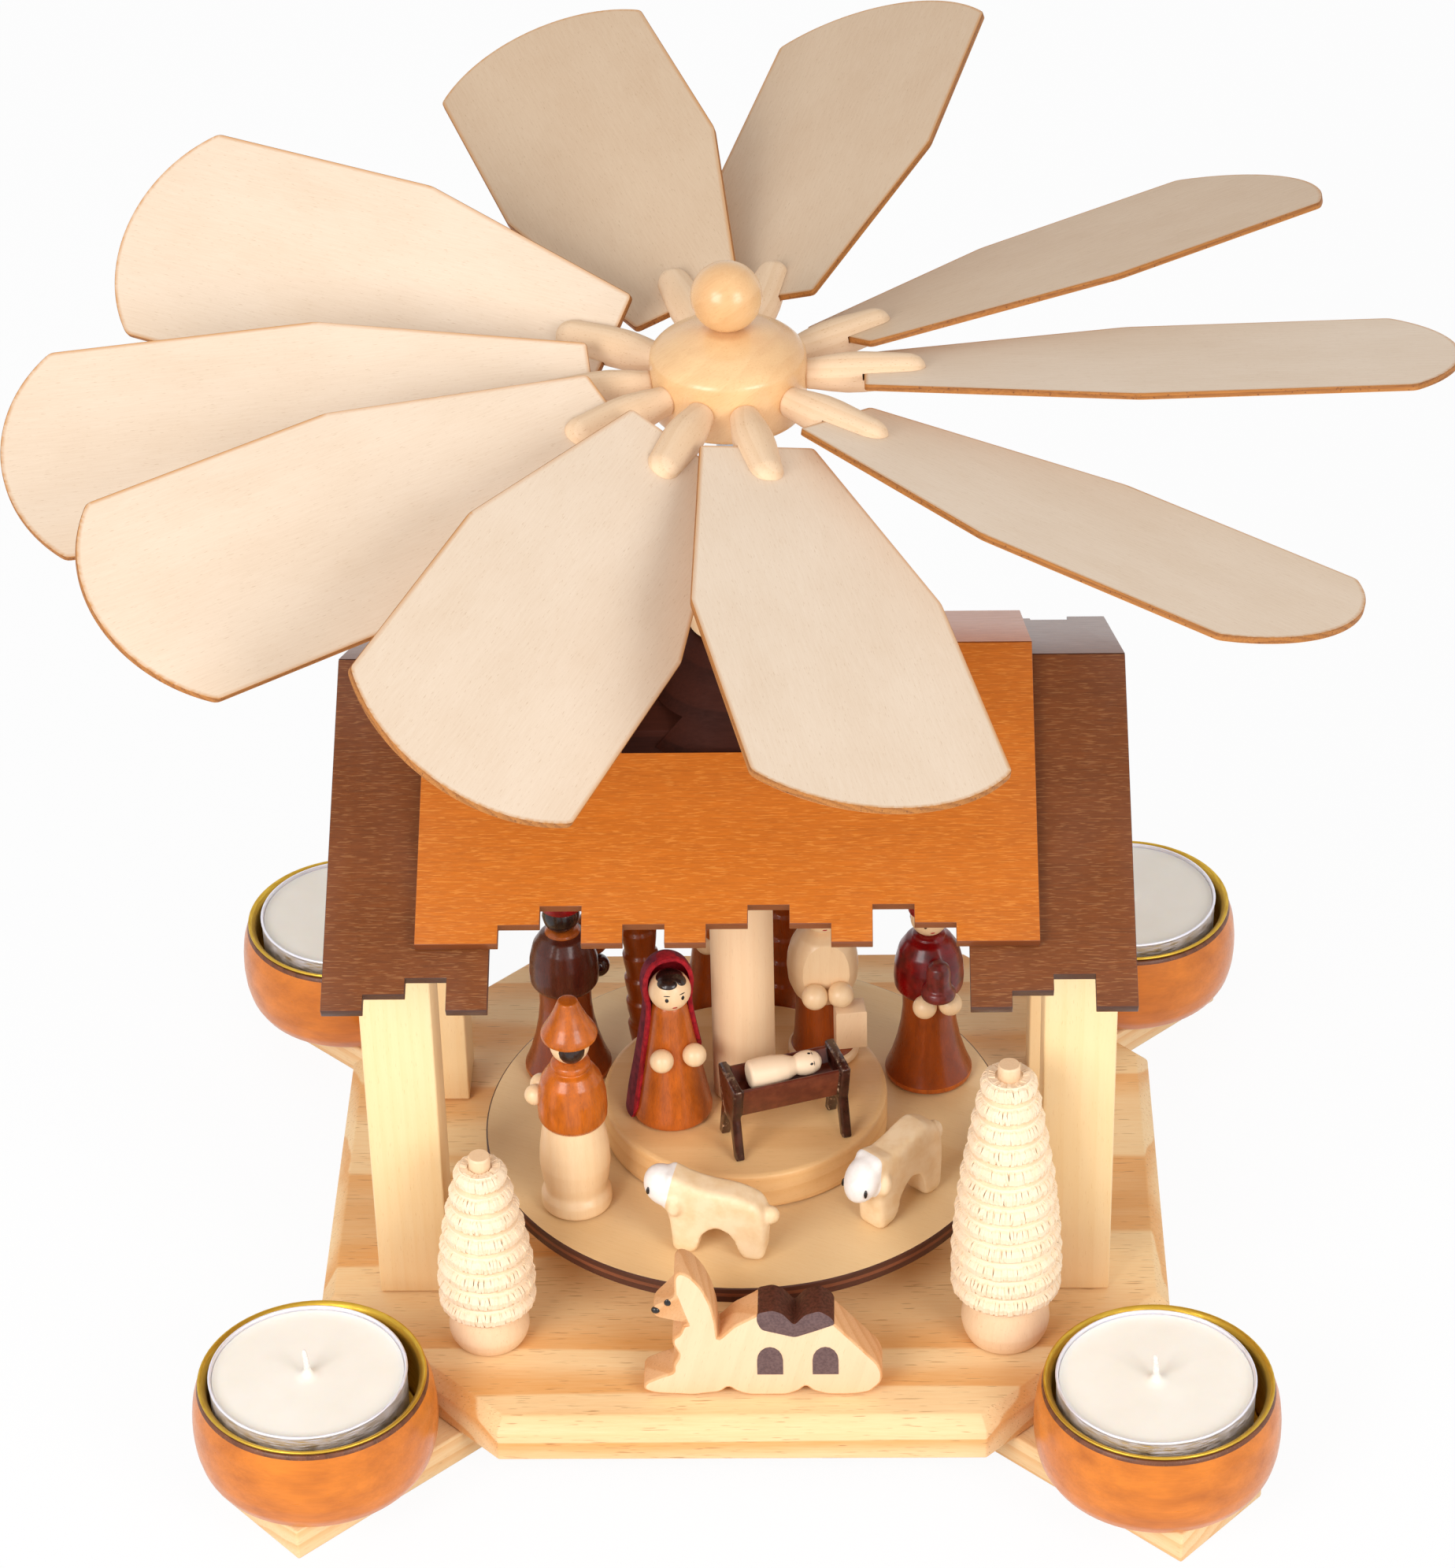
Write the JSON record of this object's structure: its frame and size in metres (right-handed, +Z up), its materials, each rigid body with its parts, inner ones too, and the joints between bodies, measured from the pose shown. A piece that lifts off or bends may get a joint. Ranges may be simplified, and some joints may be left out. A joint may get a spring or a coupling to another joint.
{
  "type": "candle carousel",
  "caption": "Wooden candle carousel: tealight cups on crossing arms, and a paddle wheel on a spindle that turns a table of small figures under a gabled roof.",
  "frame": {"origin": "on the spindle's axis, at the underside of the crossing arms, which is what the object rests on", "axes": "+Z up along the spindle, +X to the right and -Y towards the front, as the picture shows it"},
  "size_m": [0.2639, 0.2588, 0.2245],
  "materials": {
    "pine": "satin",
    "maple": "satin",
    "pale_wood": "satin",
    "plywood": "satin",
    "shavings": "matte",
    "orange_stain": "satin",
    "brown_stain": "satin",
    "dark_stain": "gloss",
    "bowl_stain": "gloss",
    "red_stain": "gloss",
    "brass": "polished",
    "steel": "polished",
    "wax": "satin"
  },
  "bodies": {
    "frame": {"cross_bar_a": "pine", "cross_bar_b": "pine", "base_plate": "pine", "post_front_left": "pale_wood", "post_front_right": "pale_wood", "post_rear_left": "pale_wood", "post_rear_right": "pale_wood", "roof_left_front": "brown_stain", "roof_left_rear": "brown_stain", "roof_right_front": "brown_stain", "roof_right_rear": "brown_stain", "roof_middle_front": "orange_stain", "roof_middle_rear": "orange_stain", "bearing_bridge": "dark_stain", "bearing_dome": "dark_stain", "bearing_bush": "pale_wood", "lower_bearing": "brass", "tree_left": "shavings", "tree_right": "shavings", "camel": "pale_wood", "candle_bowl_front_left": "bowl_stain", "candle_bowl_front_right": "bowl_stain", "candle_bowl_rear_left": "bowl_stain", "candle_bowl_rear_right": "bowl_stain", "brass_liner_front_left": "brass", "brass_liner_front_right": "brass", "brass_liner_rear_left": "brass", "brass_liner_rear_right": "brass"},
    "rotor": {"spindle": "steel", "column": "pale_wood", "turntable_disc": "maple", "inner_platform": "maple", "hooded_figure": "orange_stain", "lantern_figure": "pale_wood", "crib": "dark_stain", "infant": "pale_wood", "shepherd": "brown_stain", "king_left": "brown_stain", "king_right": "red_stain", "king_rear": "red_stain", "sheep_left": "pale_wood", "sheep_right": "pale_wood", "palm_left": "brown_stain", "palm_right": "brown_stain"},
    "wheel": {"hub": "maple", "finial_ball": "maple"},
    "paddle_1_body": {"paddle_1": "plywood"},
    "paddle_2_body": {"paddle_2": "plywood"},
    "paddle_3_body": {"paddle_3": "plywood"},
    "paddle_4_body": {"paddle_4": "plywood"},
    "paddle_5_body": {"paddle_5": "plywood"},
    "paddle_6_body": {"paddle_6": "plywood"},
    "paddle_7_body": {"paddle_7": "plywood"},
    "paddle_8_body": {"paddle_8": "plywood"},
    "paddle_9_body": {"paddle_9": "plywood"},
    "paddle_10_body": {"paddle_10": "plywood"},
    "tealight_front_left_body": {"tealight_front_left": "wax"},
    "tealight_front_right_body": {"tealight_front_right": "wax"},
    "tealight_rear_left_body": {"tealight_rear_left": "wax"},
    "tealight_rear_right_body": {"tealight_rear_right": "wax"}
  },
  "joints": [
    {"name": "rotor_spin", "type": "hinge", "parent": "frame", "child": "rotor", "pos_m": [0, 0, 0], "axis": [0, 0, 1], "continuous": true},
    {"name": "wheel_lift", "type": "slide", "parent": "rotor", "child": "wheel", "axis": [0, 0, 1], "range_m": [0, 0.025]},
    {"name": "paddle_1_pitch", "type": "hinge", "parent": "wheel", "child": "paddle_1_body", "pos_m": [0, 0, 0.2016], "axis": [-0.3215, 0.9445, 0.068], "range_deg": [-41.5, 10.5]},
    {"name": "paddle_2_pitch", "type": "hinge", "parent": "wheel", "child": "paddle_2_body", "pos_m": [0, 0, 0.2016], "axis": [0.2374, 0.9665, 0.0976], "range_deg": [-43.2, 8.8]},
    {"name": "paddle_3_pitch", "type": "hinge", "parent": "wheel", "child": "paddle_3_body", "pos_m": [0, 0, 0.2016], "axis": [0.8131, 0.5821, -0.007], "range_deg": [-43.3, 8.7]},
    {"name": "paddle_4_pitch", "type": "hinge", "parent": "wheel", "child": "paddle_4_body", "pos_m": [0, 0, 0.2016], "axis": [0.9997, 0.0087, 0.0227], "range_deg": [-46.5, 5.5]},
    {"name": "paddle_5_pitch", "type": "hinge", "parent": "wheel", "child": "paddle_5_body", "pos_m": [0, 0, 0.2016], "axis": [0.7845, -0.6196, -0.0262], "range_deg": [-46.1, 5.9]},
    {"name": "paddle_6_pitch", "type": "hinge", "parent": "wheel", "child": "paddle_6_body", "pos_m": [0, 0, 0.2016], "axis": [0.2195, -0.9741, -0.0541], "range_deg": [-50.2, 1.8]},
    {"name": "paddle_7_pitch", "type": "hinge", "parent": "wheel", "child": "paddle_7_body", "pos_m": [0, 0, 0.2016], "axis": [-0.3419, -0.9392, -0.0314], "range_deg": [-29, 23]},
    {"name": "paddle_8_pitch", "type": "hinge", "parent": "wheel", "child": "paddle_8_body", "pos_m": [0, 0, 0.2016], "axis": [-0.7912, -0.6115, -0.0052], "range_deg": [-33.2, 18.8]},
    {"name": "paddle_9_pitch", "type": "hinge", "parent": "wheel", "child": "paddle_9_body", "pos_m": [0, 0, 0.2016], "axis": [-0.9905, -0.1269, -0.0523], "range_deg": [-33, 19]},
    {"name": "paddle_10_pitch", "type": "hinge", "parent": "wheel", "child": "paddle_10_body", "pos_m": [0, 0, 0.2016], "axis": [-0.8821, 0.471, -0.0017], "range_deg": [-23.1, 20.9]},
    {"name": "tealight_front_left_lift", "type": "slide", "parent": "frame", "child": "tealight_front_left_body", "axis": [0, 0, 1], "range_m": [0, 0.025]},
    {"name": "tealight_front_right_lift", "type": "slide", "parent": "frame", "child": "tealight_front_right_body", "axis": [0, 0, 1], "range_m": [0, 0.025]},
    {"name": "tealight_rear_left_lift", "type": "slide", "parent": "frame", "child": "tealight_rear_left_body", "axis": [0, 0, 1], "range_m": [0, 0.025]},
    {"name": "tealight_rear_right_lift", "type": "slide", "parent": "frame", "child": "tealight_rear_right_body", "axis": [0, 0, 1], "range_m": [0, 0.025]}
  ]
}
